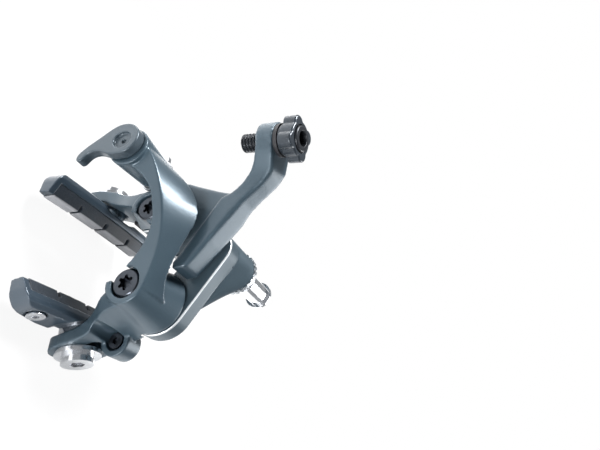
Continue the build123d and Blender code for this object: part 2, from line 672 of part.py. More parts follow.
# Centering screw, in a lobe on the long arm's leg
with BuildPart() as centering_screw:
    with BuildSketch(front(CENTERING_BACK)):
        with Locations((CENTERING_X, CENTERING_Z)):
            Circle(CENTERING_RADIUS)
    extrude(amount=CENTERING_SEAT - CENTERING_BACK)
    with BuildSketch(front(CENTERING_SEAT)):
        with Locations((CENTERING_X, CENTERING_Z)):
            Circle(CENTERING_HEAD_RADIUS)
    extrude(amount=CENTERING_HEAD_HEIGHT)
    with BuildSketch(front(CENTERING_SEAT + CENTERING_HEAD_HEIGHT)):
        with Locations((CENTERING_X, CENTERING_Z)):
            RegularPolygon(SMALL_HEX / 2, 6, major_radius=False)
    extrude(amount=-SMALL_HEX_DEPTH, mode=Mode.SUBTRACT)
centering_screw.part.label = "centering_screw"

# Quick release: a lever on a shaft through the arm, and an anchor bolt set off its axis
lever_front = RELEASE_BOSS_FRONT + LEVER_GAP + LEVER_THICKNESS
release_plane = Plane(origin=(RELEASE_X, 0, RELEASE_Z), x_dir=(1, 0, 0), z_dir=(0, -1, 0))
disc_edge = []
for turn in (0, 40, 80, 120, 160):
    across = LEVER_DISC_RADIUS * cos(radians(turn))
    disc_edge.append((LEVER_DISC_SHIFT + across, LEVER_DISC_RADIUS * sin(radians(turn))))
with BuildPart() as release_lever:
    with BuildSketch(release_plane.offset(RELEASE_BOSS_FRONT + LEVER_GAP)):
        with BuildLine():
            Spline(*disc_edge, *LEVER_BACK_EDGE, *LEVER_TIP, *LEVER_PALM_EDGE, periodic=True)
        make_face()
    extrude(amount=LEVER_THICKNESS)
    fillet(release_lever.faces().sort_by(Axis.Y)[0].edges(), radius=LEVER_ROUND)
    with BuildSketch(release_plane.offset(lever_front)):
        Circle(LEVER_DISH_RADIUS)
    extrude(amount=-LEVER_DISH, mode=Mode.SUBTRACT)
    with BuildSketch(release_plane.offset(lever_front)):
        Circle(LEVER_DISH_RADIUS / 4)
    extrude(amount=-2 * LEVER_DISH, mode=Mode.SUBTRACT)
release_lever.part.label = "release_lever"

anchor_x = RELEASE_X - ANCHOR_OFFSET
with BuildPart() as release_shaft:
    with BuildSketch(front(RELEASE_BOSS_BACK - LEVER_GAP)):
        with Locations((RELEASE_X, RELEASE_Z)):
            Circle(RELEASE_SHAFT_RADIUS)
    extrude(amount=RELEASE_BOSS_FRONT - RELEASE_BOSS_BACK + 2 * LEVER_GAP)
    with BuildSketch(front(RELEASE_BOSS_BACK - LEVER_GAP - ANCHOR_FLANGE_THICKNESS)):
        with Locations((RELEASE_X, RELEASE_Z)):
            Circle(ANCHOR_FLANGE_RADIUS)
    extrude(amount=ANCHOR_FLANGE_THICKNESS)
    with BuildSketch(front(0)):
        with Locations((anchor_x, RELEASE_Z)):
            Circle(ANCHOR_RADIUS)
    extrude(amount=RELEASE_BOSS_BACK + ANCHOR_THREAD, mode=Mode.SUBTRACT)
release_shaft.part.label = "release_shaft"

clamp_front = RELEASE_BOSS_BACK - LEVER_GAP - ANCHOR_FLANGE_THICKNESS
with BuildPart() as clamp_plate:
    with BuildSketch(front(clamp_front - CLAMP_THICKNESS)):
        with Locations((anchor_x - CLAMP_SHIFT, RELEASE_Z)):
            RectangleRounded(CLAMP_LENGTH, CLAMP_WIDTH, CLAMP_ROUND)
        with Locations((anchor_x, RELEASE_Z)):
            Circle(ANCHOR_RADIUS, mode=Mode.SUBTRACT)
    extrude(amount=CLAMP_THICKNESS)
    with BuildSketch(Plane.XY.offset(RELEASE_Z)):
        with Locations((anchor_x - ANCHOR_RADIUS - 1.5 * CABLE_RADIUS, -clamp_front)):
            Circle(CABLE_RADIUS)
    extrude(amount=ANCHOR_FLANGE_RADIUS, both=True, mode=Mode.SUBTRACT)
clamp_plate.part.label = "clamp_plate"

with BuildPart() as anchor_bolt:
    with BuildSketch(front(clamp_front - CLAMP_THICKNESS - ANCHOR_HEAD_HEIGHT)):
        with Locations((anchor_x, RELEASE_Z)):
            RegularPolygon(ANCHOR_HEAD_RADIUS, 6, major_radius=False)
    extrude(amount=ANCHOR_HEAD_HEIGHT)
    with BuildSketch(front(clamp_front - CLAMP_THICKNESS)):
        with Locations((anchor_x, RELEASE_Z)):
            Circle(ANCHOR_RADIUS)
    extrude(amount=RELEASE_BOSS_BACK + ANCHOR_THREAD - clamp_front + CLAMP_THICKNESS)
anchor_bolt.part.label = "anchor_bolt"

# Cable adjuster: a hollow barrel that turns in the eyelet, a seal and a four-lobed nut
nut_bottom = EYELET_TOP + SEAL_HEIGHT + SEAL_GAP
nut_top = nut_bottom + SKIRT_HEIGHT + LOBE_HEIGHT
with BuildPart() as barrel:
    with BuildSketch(up_adjuster(BARREL_BOTTOM)):
        Circle(BARREL_RADIUS)
    extrude(amount=BARREL_TOP - BARREL_BOTTOM)
    with BuildSketch(up_adjuster(BARREL_TOP - FLANGE_HEIGHT)):
        Circle(FLANGE_RADIUS)
    extrude(amount=FLANGE_HEIGHT)
    fillet(barrel.edges().sort_by(adjuster_axis)[-1], radius=0.6)
    with BuildSketch(up_adjuster(BARREL_BOTTOM)):
        Circle(BARREL_BORE)
    extrude(amount=BARREL_TOP - BARREL_BOTTOM, mode=Mode.SUBTRACT)
    with BuildSketch(up_adjuster(BARREL_TOP)):
        Circle(BARREL_SOCKET)
    extrude(amount=-SOCKET_DEEP, mode=Mode.SUBTRACT)
barrel.part.label = "barrel"

with BuildPart() as seal:
    with BuildSketch(up_adjuster(EYELET_TOP)):
        Circle(SEAL_RADIUS)
        Circle(BARREL_RADIUS + RUNNING_FIT, mode=Mode.SUBTRACT)
    extrude(amount=SEAL_HEIGHT)
seal.part.label = "seal"

with BuildPart() as adjuster_nut:
    with BuildSketch(up_adjuster(nut_bottom)):
        Circle(SKIRT_RADIUS)
    extrude(amount=SKIRT_HEIGHT)
    with BuildSketch(up_adjuster(nut_bottom + SKIRT_HEIGHT)) as lobes:
        Circle(LOBE_RADIUS - LOBE_STAND)
        with PolarLocations(LOBE_RADIUS - LOBE_WIDTH / 2, 4, start_angle=LOBE_TURN):
            Circle(LOBE_WIDTH / 2)
        fillet(lobes.vertices(), radius=LOBE_ROUND)
    extrude(amount=LOBE_HEIGHT)
    fillet(adjuster_nut.faces().sort_by(adjuster_axis)[-1].edges(), radius=LOBE_ROUND)
    with BuildSketch(up_adjuster(nut_bottom)):
        Circle(BARREL_RADIUS + RUNNING_FIT)
    extrude(amount=nut_top - nut_bottom, mode=Mode.SUBTRACT)
    with BuildSketch(up_adjuster(nut_top)):
        Circle(FLANGE_RADIUS + NUT_RECESS_GAP)
    extrude(amount=BARREL_TOP - FLANGE_HEIGHT - SEAL_GAP - nut_top, mode=Mode.SUBTRACT)
adjuster_nut.part.label = "adjuster_nut"

# Shoe bolt and its washers
with BuildPart() as shoe_bolt:
    with BuildSketch(across_bolt(LEG_INNER)):
        Circle(SHOE_BOLT_RADIUS)
    extrude(amount=LEG_OUTER - LEG_INNER + SPACER_THICKNESS)
    with BuildSketch(across_bolt(LEG_OUTER + SPACER_THICKNESS)):
        Circle(BOLT_HEAD_RADIUS)
    extrude(amount=BOLT_HEAD_HEIGHT)
    with BuildSketch(across_bolt(LEG_INNER)):
        Circle(SHOE_THREAD_RADIUS)
    extrude(amount=stack_end + CHANNEL_FLOOR + 0.1 - LEG_INNER)
    with BuildSketch(across_bolt(LEG_OUTER + SPACER_THICKNESS + BOLT_HEAD_HEIGHT)):
        RegularPolygon(BOLT_HEX / 2, 6, major_radius=False)
    extrude(amount=-BOLT_HEX_DEPTH, mode=Mode.SUBTRACT)
shoe_bolt.part.label = "right_shoe_bolt"

with BuildPart() as spacer:
    with BuildSketch(across_bolt(LEG_OUTER)):
        Circle(SPACER_RADIUS)
        Circle(SHOE_BOLT_RADIUS, mode=Mode.SUBTRACT)
    extrude(amount=SPACER_THICKNESS)
spacer.part.label = "right_spacer"

ball_middle = bolt_middle + bolt_way * (LEG_INNER - DISH_THICKNESS - DOME_SPHERE)
with BuildPart() as ball:
    with Locations(ball_middle):
        Sphere(DOME_SPHERE)

with BuildPart() as dish_washer:
    with BuildSketch(across_bolt(LEG_INNER)):
        Circle(DISH_RADIUS)
        Circle(SHOE_THREAD_RADIUS, mode=Mode.SUBTRACT)
    extrude(amount=-(DISH_THICKNESS + DOME_THICKNESS))
    add(ball.part, mode=Mode.SUBTRACT)
dish_washer.part.label = "right_dish_washer"

with BuildPart() as dome_washer:
    with BuildSketch(across_bolt(stack_end)):
        Circle(DISH_RADIUS)
        Circle(SHOE_THREAD_RADIUS, mode=Mode.SUBTRACT)
    extrude(amount=DISH_THICKNESS + DOME_THICKNESS)
    add(ball.part, mode=Mode.INTERSECT)
dome_washer.part.label = "right_dome_washer"

# Plan of the shoe, a tool that rounds its ends
shoe_plan = Plane(origin=shoe.origin, x_dir=shoe.z_dir, z_dir=shoe.y_dir)
with BuildPart() as shoe_outline:
    with BuildSketch(shoe_plan) as outline:
        with Locations(((SHOE_AHEAD - SHOE_BEHIND) / 2, (HOLDER_OUT + PAD_FACE) / 2)):
            Rectangle(SHOE_AHEAD + SHOE_BEHIND, HOLDER_OUT - PAD_FACE)
        corners = outline.vertices().sort_by(Axis.X)
        fillet(corners[-2:].sort_by(Axis.Y)[-1], radius=SHOE_FRONT_ROUND)
        fillet(outline.vertices().sort_by(Axis.X)[:2].sort_by(Axis.Y)[-1], radius=SHOE_BACK_ROUND)
    extrude(amount=2 * HOLDER_HIGH, both=True)

# Wedge that the underside of the shoe's nose rises by, a tool
with BuildPart() as nose_wedge:
    with BuildSketch(Plane(origin=shoe.origin, x_dir=shoe.z_dir, z_dir=-bolt_way)):
        with BuildLine():
            Polyline(*NOSE_CUT, close=True)
        make_face()
    extrude(amount=2 * HOLDER_HIGH, both=True)

# Holder: a curved channel with a closed front end, a pocket for the washers and a boss inside it
with BuildPart() as holder:
    with BuildSketch(along_rim(-SHOE_BEHIND - 1)):
        with BuildLine():
            Polyline(
                (HOLDER_LIP, HOLDER_HIGH - 0.3),
                (HOLDER_LIP + 1.8, HOLDER_HIGH),
                (HOLDER_OUT - 1.0, HOLDER_HIGH - 0.3),
                (HOLDER_OUT, HOLDER_HIGH - 1.8),
                (HOLDER_OUT, HOLDER_LOW + 2.0),
                (HOLDER_OUT - 1.2, HOLDER_LOW + 0.4),
                (HOLDER_LIP + 1.4, HOLDER_LOW),
                (HOLDER_LIP, HOLDER_LOW + 0.3),
                (HOLDER_LIP, HOLDER_LOW + LIP_WALL),
                (CHANNEL_FLOOR, HOLDER_LOW + LIP_WALL),
                (CHANNEL_FLOOR, HOLDER_HIGH - LIP_WALL),
                (HOLDER_LIP, HOLDER_HIGH - LIP_WALL),
                close=True,
            )
        make_face()
    revolve(axis=rim_axis, revolution_arc=360 * (SHOE_AHEAD + SHOE_BEHIND + 2) / (2 * pi * RIM_RADIUS))
    with BuildSketch(along_rim(SHOE_AHEAD - FRONT_WALL)):
        with BuildLine():
            Polyline(
                (HOLDER_LIP + 1.0, HOLDER_HIGH - 0.3),
                (HOLDER_LIP, HOLDER_HIGH - 0.3),
                (FRONT_WALL_FACE, PAD_FACE_HIGH),
                (FRONT_WALL_FACE, PAD_FACE_LOW),
                (HOLDER_LIP, HOLDER_LOW + 0.3),
                (HOLDER_LIP + 1.0, HOLDER_LOW + 0.3),
                close=True,
            )
        make_face()
    extrude(amount=FRONT_WALL + 2)
    add(shoe_outline.part, mode=Mode.INTERSECT)
    add(nose_wedge.part, mode=Mode.SUBTRACT)
    with BuildSketch(across_bolt(stack_end)):
        Circle(POCKET_RADIUS)
    with BuildSketch(across_bolt(stack_end + HOLDER_OUT + 0.2)):
        Circle(POCKET_RADIUS + POCKET_FLARE)
    loft(mode=Mode.SUBTRACT)
    with BuildSketch(across_bolt(stack_end - HOLDER_OUT)):
        Circle(SHOE_THREAD_RADIUS)
    extrude(amount=2 * HOLDER_OUT, mode=Mode.SUBTRACT)
holder.part.label = "right_holder"

with BuildPart() as pad:
    with BuildSketch(along_rim(-SHOE_BEHIND - 1)):
        with BuildLine():
            Polyline(
                (CHANNEL_FLOOR, HOLDER_LOW + LIP_WALL),
                (HOLDER_LIP, HOLDER_LOW + LIP_WALL),
                (HOLDER_LIP, HOLDER_LOW + 0.6),
                (PAD_FACE, PAD_FACE_LOW),
                (PAD_FACE, PAD_FACE_HIGH),
                (HOLDER_LIP, HOLDER_HIGH - 0.6),
                (HOLDER_LIP, HOLDER_HIGH - LIP_WALL),
                (CHANNEL_FLOOR, HOLDER_HIGH - LIP_WALL),
                close=True,
            )
        make_face()
    revolve(axis=rim_axis, revolution_arc=360 * (SHOE_AHEAD + SHOE_BEHIND + 2) / (2 * pi * RIM_RADIUS))
    add(shoe_outline.part, mode=Mode.INTERSECT)
    add(nose_wedge.part, mode=Mode.SUBTRACT)
    with BuildSketch(along_rim(SHOE_AHEAD - FRONT_WALL)):
        Rectangle(RIM_RADIUS / 5, RIM_RADIUS / 5)
    extrude(amount=2 * FRONT_WALL, mode=Mode.SUBTRACT)
    for place in GROOVE_PLACES:
        with BuildSketch(along_rim(place - GROOVE_WIDTH / 2)):
            with Locations((PAD_FACE - 1, 0)):
                Rectangle(1 + GROOVE_DEPTH, 4 * HOLDER_HIGH, align=(Align.MIN, Align.CENTER))
        extrude(amount=GROOVE_WIDTH, mode=Mode.SUBTRACT)
pad.part.label = "right_pad"

retainer_plane = Plane(
    origin=along_rim(RETAINER_AHEAD).origin + along_rim(RETAINER_AHEAD).y_dir * RETAINER_HIGH,
    x_dir=along_rim(RETAINER_AHEAD).z_dir,
    z_dir=bolt_way,
)
retainer_seat = HOLDER_OUT + RETAINER_SINK - RETAINER_HEAD_HEIGHT
with BuildPart() as retainer:
    with BuildSketch(retainer_plane.offset(HOLDER_LIP - 1.0)):
        Circle(RETAINER_RADIUS)
    extrude(amount=HOLDER_OUT - HOLDER_LIP + 1.0)
    with BuildSketch(retainer_plane.offset(retainer_seat)):
        Circle(RETAINER_HEAD_RADIUS)
    extrude(amount=RETAINER_HEAD_HEIGHT)
    with BuildSketch(retainer_plane.offset(retainer_seat + RETAINER_HEAD_HEIGHT)):
        RegularPolygon(SMALL_HEX / 2, 6, major_radius=False)
    extrude(amount=-RETAINER_HEAD_HEIGHT + RETAINER_SINK, mode=Mode.SUBTRACT)
retainer.part.label = "right_retaining_screw"

with BuildPart() as holder_bored:
    add(holder.part)
    add(retainer.part, mode=Mode.SUBTRACT)
    with BuildSketch(retainer_plane.offset(retainer_seat)):
        Circle(RETAINER_HEAD_RADIUS + RETAINER_GAP)
    extrude(amount=2 * RETAINER_HEAD_HEIGHT, mode=Mode.SUBTRACT)
holder_bored.part.label = "right_holder"

with BuildPart() as pad_bored:
    add(pad.part)
    add(retainer.part, mode=Mode.SUBTRACT)
pad_bored.part.label = "right_pad"

# The left leg carries a mirrored set
right_set = [
    spring_seat.part, shoe_bolt.part, spacer.part, dish_washer.part, dome_washer.part,
    holder_bored.part, pad_bored.part, retainer.part,
]
left_set = []
for piece in right_set:
    twin = mirror(piece, about=Plane.YZ)
    twin.label = piece.label.replace("right", "left")
    left_set.append(twin)

everything = [
    bridge.part, mounting_stud.part, mounting_washer.part, sleeve_nut.part, c_arm.part, y_arm.part,
    return_spring.part, centering_screw.part, release_lever.part, release_shaft.part,
    clamp_plate.part, anchor_bolt.part, barrel.part, seal.part, adjuster_nut.part,
]
for piece in everything + pivot_parts + right_set + left_set:
    print(piece.label, len(piece.solids()), round(piece.volume, 1), piece.is_valid)
    export_step(piece, "parts/" + piece.label + ".step")
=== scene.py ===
# %% [markdown]
# # A road bicycle's caliper brake
#
# The brake is two painted alloy arms that pinch a wheel's rim between rubber shoes. The
# shapes come from the CAD frame. This script gives them their soft cast edges, their
# threads, their finishes, the light and the camera.

# %% Load the frame
import json
import math

import bmesh
import bpy
from mathutils import Matrix, Vector


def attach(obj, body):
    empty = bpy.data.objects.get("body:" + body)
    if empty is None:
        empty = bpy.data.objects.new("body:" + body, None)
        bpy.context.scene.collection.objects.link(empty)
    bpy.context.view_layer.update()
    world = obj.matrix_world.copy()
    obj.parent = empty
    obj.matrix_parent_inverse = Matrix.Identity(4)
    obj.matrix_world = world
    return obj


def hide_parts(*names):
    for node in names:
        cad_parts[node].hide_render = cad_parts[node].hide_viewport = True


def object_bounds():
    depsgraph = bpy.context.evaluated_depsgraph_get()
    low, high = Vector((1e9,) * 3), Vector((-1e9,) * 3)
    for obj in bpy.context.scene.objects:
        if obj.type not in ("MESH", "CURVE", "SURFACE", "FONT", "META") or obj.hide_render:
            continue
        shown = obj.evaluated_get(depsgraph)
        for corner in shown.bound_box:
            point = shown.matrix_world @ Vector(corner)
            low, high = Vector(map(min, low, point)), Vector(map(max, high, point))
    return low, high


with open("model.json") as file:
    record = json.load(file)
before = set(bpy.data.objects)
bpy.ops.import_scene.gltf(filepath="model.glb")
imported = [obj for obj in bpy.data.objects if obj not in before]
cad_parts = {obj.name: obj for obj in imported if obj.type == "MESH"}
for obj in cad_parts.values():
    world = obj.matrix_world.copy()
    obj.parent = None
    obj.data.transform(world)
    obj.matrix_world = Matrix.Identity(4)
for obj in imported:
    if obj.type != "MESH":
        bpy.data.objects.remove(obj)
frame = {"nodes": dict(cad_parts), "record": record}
nodes = frame["nodes"]
cad_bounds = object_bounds()
MM = 0.001
print("pieces in the frame:", len(nodes))

# %% [markdown]
# ## One way to add a node
#
# Blender's materials and Geometry Nodes are both trees of nodes. A node is added by its
# type, then its settings are set, and then each socket gets a value or a link. One
# function does this for every tree, so the rest of the script reads as what is wired, not
# how.


# %% Add and feed nodes
def feed(tree, slot, value):
    """Links a socket to another socket or a Field, or gives it a plain value."""
    if isinstance(value, Field):
        value = value.socket
    if isinstance(value, bpy.types.NodeSocket):
        tree.links.new(value, slot)
    else:
        slot.default_value = value


def add_node(tree, kind, settings=None, values=None):
    node = tree.nodes.new(kind)
    for key, value in (settings or {}).items():
        setattr(node, key, value)
    for key, value in (values or {}).items():
        feed(tree, node.inputs[key], value)
    return node


# %% [markdown]
# ## Writing a pattern as a sum
#
# A finish is a pattern over the surface. Wiring dozens of Math nodes by hand is hard to
# read, so one small class wraps a socket, and adding or multiplying two of them adds the
# nodes. The same class serves materials and Geometry Nodes, because both know the Math
# node.


# %% Node maths as expressions
class Field:
    """A number that changes over the surface: a socket that can be used in sums."""

    def __init__(self, tree, socket):
        self.tree = tree
        self.socket = socket

    def _math(self, operation, *values, clamp=False):
        settings = {"operation": operation, "use_clamp": clamp}
        node = add_node(self.tree, "ShaderNodeMath", settings, dict(enumerate(values)))
        return Field(self.tree, node.outputs[0])

    def __add__(self, other):
        return self._math("ADD", self, other)

    __radd__ = __add__

    def __sub__(self, other):
        return self._math("SUBTRACT", self, other)

    def __rsub__(self, other):
        return self._math("SUBTRACT", other, self)

    def __mul__(self, other):
        return self._math("MULTIPLY", self, other)

    __rmul__ = __mul__

    def __truediv__(self, other):
        return self._math("DIVIDE", self, other)

    def __abs__(self):
        return self._math("ABSOLUTE", self)

    def sine(self):
        return self._math("SINE", self)

    def root(self):
        return self._math("SQRT", self)

    def angle(self, other):
        return self._math("ARCTAN2", self, other)

    def swing(self):
        """Rises from 0 to a half and falls back, once for every whole number."""
        return self._math("PINGPONG", self, 0.5)

    def limited(self):
        """Kept between 0 and 1."""
        return self._math("ADD", self, 0.0, clamp=True)

    def step(self, low, high):
        """0 below low, 1 above high and smooth between."""
        values = {"Value": self, "From Min": low, "From Max": high}
        settings = {"interpolation_type": "SMOOTHSTEP"}
        node = add_node(self.tree, "ShaderNodeMapRange", settings, values)
        return Field(self.tree, node.outputs["Result"])


# %% [markdown]
# ## One finish, one shader
#
# A coat of paint or a polish is one material with one Principled shader, and patterns
# feed its colour, roughness and bumps. The patterns could follow a UV map, but CAD meshes
# come without one. Object coordinates need no unwrapping and move with their piece when
# an arm turns, so every pattern here reads those.


# %% A material whose patterns are Fields
class Finish:
    """A material with one Principled shader."""

    def __init__(self, name, **shader):
        self.material = bpy.data.materials.new(name)
        self.material.use_nodes = True
        self.tree = self.material.node_tree
        self.shader = self.tree.nodes["Principled BSDF"]
        for socket, value in shader.items():
            self.shader.inputs[socket.replace("_", " ")].default_value = value
        self.place = self.node("ShaderNodeTexCoord").outputs["Object"]
        print("finish:", name)

    def node(self, kind, settings=None, values=None):
        return add_node(self.tree, kind, settings, values)

    def axes(self, origin=(0, 0, 0)):
        """The three object coordinates in millimetres, from an origin in millimetres."""
        split = self.node("ShaderNodeSeparateXYZ", values={0: self.place})
        return [Field(self.tree, split.outputs[i]) * 1000.0 - origin[i] for i in range(3)]

    def noise(self, scale, detail, stretch=(1, 1, 1)):
        """Noise of so many cells a millimetre."""
        where = self.node("ShaderNodeMapping", values={"Vector": self.place, "Scale": stretch})
        values = {"Vector": where.outputs[0], "Scale": scale * 1000, "Detail": detail}
        made = self.node("ShaderNodeTexNoise", values=values)
        return Field(self.tree, made.outputs["Fac"])

    def mix(self, amount, first, second):
        """A blend of two colours. The Mix node's colour sockets have only numbers."""
        values = {0: amount, 6: first, 7: second}
        return self.node("ShaderNodeMix", {"data_type": "RGBA"}, values).outputs[2]

    def paint(self, socket, value):
        feed(self.tree, self.shader.inputs[socket], value)

    def bump(self, height, strength, distance):
        """Height and distance are in metres, as Blender's are."""
        values = {"Strength": strength, "Distance": distance, "Height": height}
        self.paint("Normal", self.node("ShaderNodeBump", values=values).outputs[0])


def rgb(red, green, blue):
    return (red, green, blue, 1.0)


# %% [markdown]
# ## Painted alloy
#
# The arms, the bridge, the shoe holders and the lever are alloy in a satin slate paint. A
# paint could be one flat colour, but a real one clouds slowly and carries fine metal
# flakes. So two sizes of noise mix two near shades, and a thin clear coat over them gives
# the long soft highlights.


# %% Paint
METALLIC_PAINT = 0.35


def painted_alloy(name, base, bright, rough, coat):
    shader = {"Metallic": METALLIC_PAINT, "Coat_Weight": coat, "Coat_Roughness": 0.28}
    finish = Finish(name, IOR=1.5, **shader)
    cloud = finish.noise(0.05, 3)
    flake = finish.noise(9.0, 1)
    grain = finish.noise(2.4, 4)
    tone = (cloud * 0.55 + flake * 0.45).step(0.3, 0.7)
    finish.paint("Base Color", finish.mix(tone, base, bright))
    finish.paint("Roughness", cloud * 0.06 + flake * 0.08 + rough)
    finish.bump(flake * 0.6 + grain * 0.4, 0.10, 0.00003)
    return finish


SLATE = rgb(0.033, 0.057, 0.077), rgb(0.047, 0.076, 0.099)
BRIDGE_SLATE = rgb(0.034, 0.055, 0.071), rgb(0.047, 0.072, 0.091)
HOLDER_SLATE = rgb(0.028, 0.044, 0.062), rgb(0.040, 0.060, 0.082)
LEVER_SLATE = rgb(0.040, 0.058, 0.073), rgb(0.056, 0.077, 0.095)

arm_paint = painted_alloy("arm_paint", *SLATE, rough=0.32, coat=0.28)
bridge_paint = painted_alloy("bridge_paint", *BRIDGE_SLATE, rough=0.40, coat=0.12)
holder_paint = painted_alloy("holder_paint", *HOLDER_SLATE, rough=0.24, coat=0.45)
lever_paint = painted_alloy("lever_paint", *LEVER_SLATE, rough=0.30, coat=0.25)

# %% [markdown]
# ## The bridge's painted highlight
#
# A bright line runs round the bridge just behind its front face. It is a painted highlight:
# a light, more metallic colour where that edge catches the light. It could be a strip of its
# own, but it has no thickness. The line is a mask instead, made of two things: how far
# forward a point is, and whether it faces sideways there.

# %% Painted highlight on the bridge's edge
HIGHLIGHT_FRONT = 14.6
EDGE_FADE = 0.3
# Painted highlight: the light alloy colour of the line along the bridge's front edge.
HIGHLIGHT_ALLOY = rgb(0.70, 0.72, 0.74)
METALLIC_GAIN = 0.6


def paint_edge_highlight(finish):
    """Paints a highlight where a flank comes close to the front face, which looks towards -Y."""
    y = finish.axes()[1]
    facing = finish.node("ShaderNodeNewGeometry").outputs["Normal"]
    split = finish.node("ShaderNodeSeparateXYZ", values={0: facing})
    forward = 0.0 - Field(finish.tree, split.outputs[1])
    in_front = (0.0 - y).step(HIGHLIGHT_FRONT, HIGHLIGHT_FRONT + EDGE_FADE)
    # Mask of the painted highlight: near the front face and facing sideways.
    painted_highlight = in_front * (1.0 - forward.step(0.80, 0.95))
    coat = finish.shader.inputs["Base Color"].links[0].from_socket
    finish.paint("Base Color", finish.mix(painted_highlight, coat, HIGHLIGHT_ALLOY))
    finish.paint("Metallic", painted_highlight * METALLIC_GAIN + METALLIC_PAINT)


paint_edge_highlight(bridge_paint)
# The bright line in front is a painted highlight.
print("the bridge is bare in front of", HIGHLIGHT_FRONT, "mm")

# %% [markdown]
# ## Rubber
#
# The pads are moulded rubber: nearly black on the sides, where the mould left them smooth,
# and a dusty grey on the braking face, which the rim rubs. Two materials would need the
# faces sorted. That face is a plane square to the shoe bolt, so its mask is one sum: the
# distance along the bolt.

# %% Rubber
TILT = math.radians(8.0)
SHOE_BOLT = (25.6, -16.5, -45.3)
BRAKING_FACE = -11.4
WEAR_FADES_FROM = 0.10
WEAR_GONE = 0.50
DARK_RUBBER = rgb(0.010, 0.015, 0.022), rgb(0.020, 0.027, 0.036)
WORN_RUBBER = rgb(0.20, 0.205, 0.22), rgb(0.30, 0.305, 0.32)


def rubber(name):
    finish = Finish(name, Metallic=0.0, IOR=1.45)
    x, _, z = finish.axes()
    along = (abs(x) - SHOE_BOLT[0]) * math.cos(TILT) + (z - SHOE_BOLT[2]) * math.sin(TILT)
    grain = finish.noise(2.2, 4)
    speck = finish.noise(6.0, 2)
    streak = finish.noise(0.9, 3, (1, 0.15, 1))
    worn = 1.0 - along.step(BRAKING_FACE + WEAR_FADES_FROM, BRAKING_FACE + WEAR_GONE)
    dark = finish.mix(grain.step(0.3, 0.75), *DARK_RUBBER)
    grey = finish.mix((speck * 0.5 + streak * 0.5).step(0.3, 0.7), *WORN_RUBBER)
    finish.paint("Base Color", finish.mix(worn, dark, grey))
    finish.paint("Roughness", 0.46 + grain * 0.15 + worn * 0.20)
    finish.bump(grain * 0.7 + speck * 0.3, 0.20, 0.00006)
    return finish.material


pad_rubber = rubber("pad_rubber")
print("the rubber is worn to", BRAKING_FACE, "mm along the shoe bolt")

# %% [markdown]
# ## Turned metal
#
# Washers, bolts and the stud are turned from bar and polished, so their faces carry fine
# rings round their own axis. An image of rings would be fixed to one size. A wave of the
# distance from the axis fits every piece, so each axis gets a metal of its own.


# %% Turned metal: the ring rate is in radians a millimetre
RING_RATE = 38.0


def turned_metal(name, base, middle, direction, rough):
    finish = Finish(name, Metallic=1.0)
    offset = finish.axes(middle)
    along = offset[0] * direction[0] + offset[1] * direction[1] + offset[2] * direction[2]
    square = offset[0] * offset[0] + offset[1] * offset[1] + offset[2] * offset[2] - along * along
    radius = abs(square).root()
    rings = (radius * RING_RATE + finish.noise(0.8, 2) * 3.0).sine() * 0.5 + 0.5
    smudge = finish.noise(0.5, 4)
    lighter = tuple(min(1.0, value * 1.2) for value in base[:3]) + (1.0,)
    finish.paint("Base Color", finish.mix(smudge.step(0.25, 0.75), base, lighter))
    finish.paint("Roughness", smudge * 0.10 + rings * 0.04 + rough)
    finish.bump(rings, 0.08, 0.00002)
    return finish.material


# %% Metals and the axes they were turned on
STEEL = rgb(0.66, 0.67, 0.69)
DARK_STEEL = rgb(0.050, 0.056, 0.066)
CHROME = rgb(0.72, 0.73, 0.75)
ZINC = rgb(0.34, 0.36, 0.38)
ALLOY = rgb(0.50, 0.51, 0.53)
WIRE = rgb(0.42, 0.43, 0.44)
MIDDLE = (0, 0, 0)
RIGHT_PIVOT = (14.2, 0, -19.5)
LEFT_PIVOT = (-14.2, 0, -19.5)
CENTERING_SCREW = (25.4, 0, -32.0)
RELEASE_SHAFT = (-25.2, 0, -17.6)
BACKWARDS = (0, 1, 0)
UPWARDS = (0, 0, 1)

steel = {}
for side, sign in (("right", 1), ("left", -1)):
    middle = (sign * SHOE_BOLT[0], SHOE_BOLT[1], SHOE_BOLT[2])
    bolt_way = (sign * math.cos(TILT), 0.0, math.sin(TILT))
    steel[side] = turned_metal(side + "_bolt_steel", STEEL, middle, bolt_way, 0.12)
chrome = turned_metal("chrome", CHROME, MIDDLE, BACKWARDS, 0.06)
washer_zinc = turned_metal("washer_zinc", ZINC, MIDDLE, BACKWARDS, 0.32)
pin_steel = turned_metal("pin_steel", DARK_STEEL, RIGHT_PIVOT, BACKWARDS, 0.26)
far_pin_steel = turned_metal("far_pin_steel", DARK_STEEL, LEFT_PIVOT, BACKWARDS, 0.26)
screw_steel = turned_metal("screw_steel", DARK_STEEL, CENTERING_SCREW, BACKWARDS, 0.28)
release_alloy = turned_metal("release_alloy", ALLOY, RELEASE_SHAFT, BACKWARDS, 0.22)
wire_steel = turned_metal("wire_steel", WIRE, MIDDLE, UPWARDS, 0.28)

# %% [markdown]
# ## Black alloy and plastic
#
# The adjuster's nut and barrel are anodised black, and the bushes, seal and spring seats
# are moulded plastic. Both look like one plain black from far away. Close up they have a
# fine grain, and they differ in gloss and in how metallic they are, so one function makes
# them all.


# %% Black alloy and plastic
def plain_black(name, low, high, rough, metallic, coat=0.0):
    finish = Finish(name, Metallic=metallic, Coat_Weight=coat, Coat_Roughness=0.15)
    grain = finish.noise(3.0, 3)
    cloud = finish.noise(0.3, 2)
    finish.paint("Base Color", finish.mix((grain * 0.6 + cloud * 0.4).step(0.3, 0.7), low, high))
    finish.paint("Roughness", grain * 0.12 + rough)
    finish.bump(grain, 0.10, 0.00003)
    return finish.material


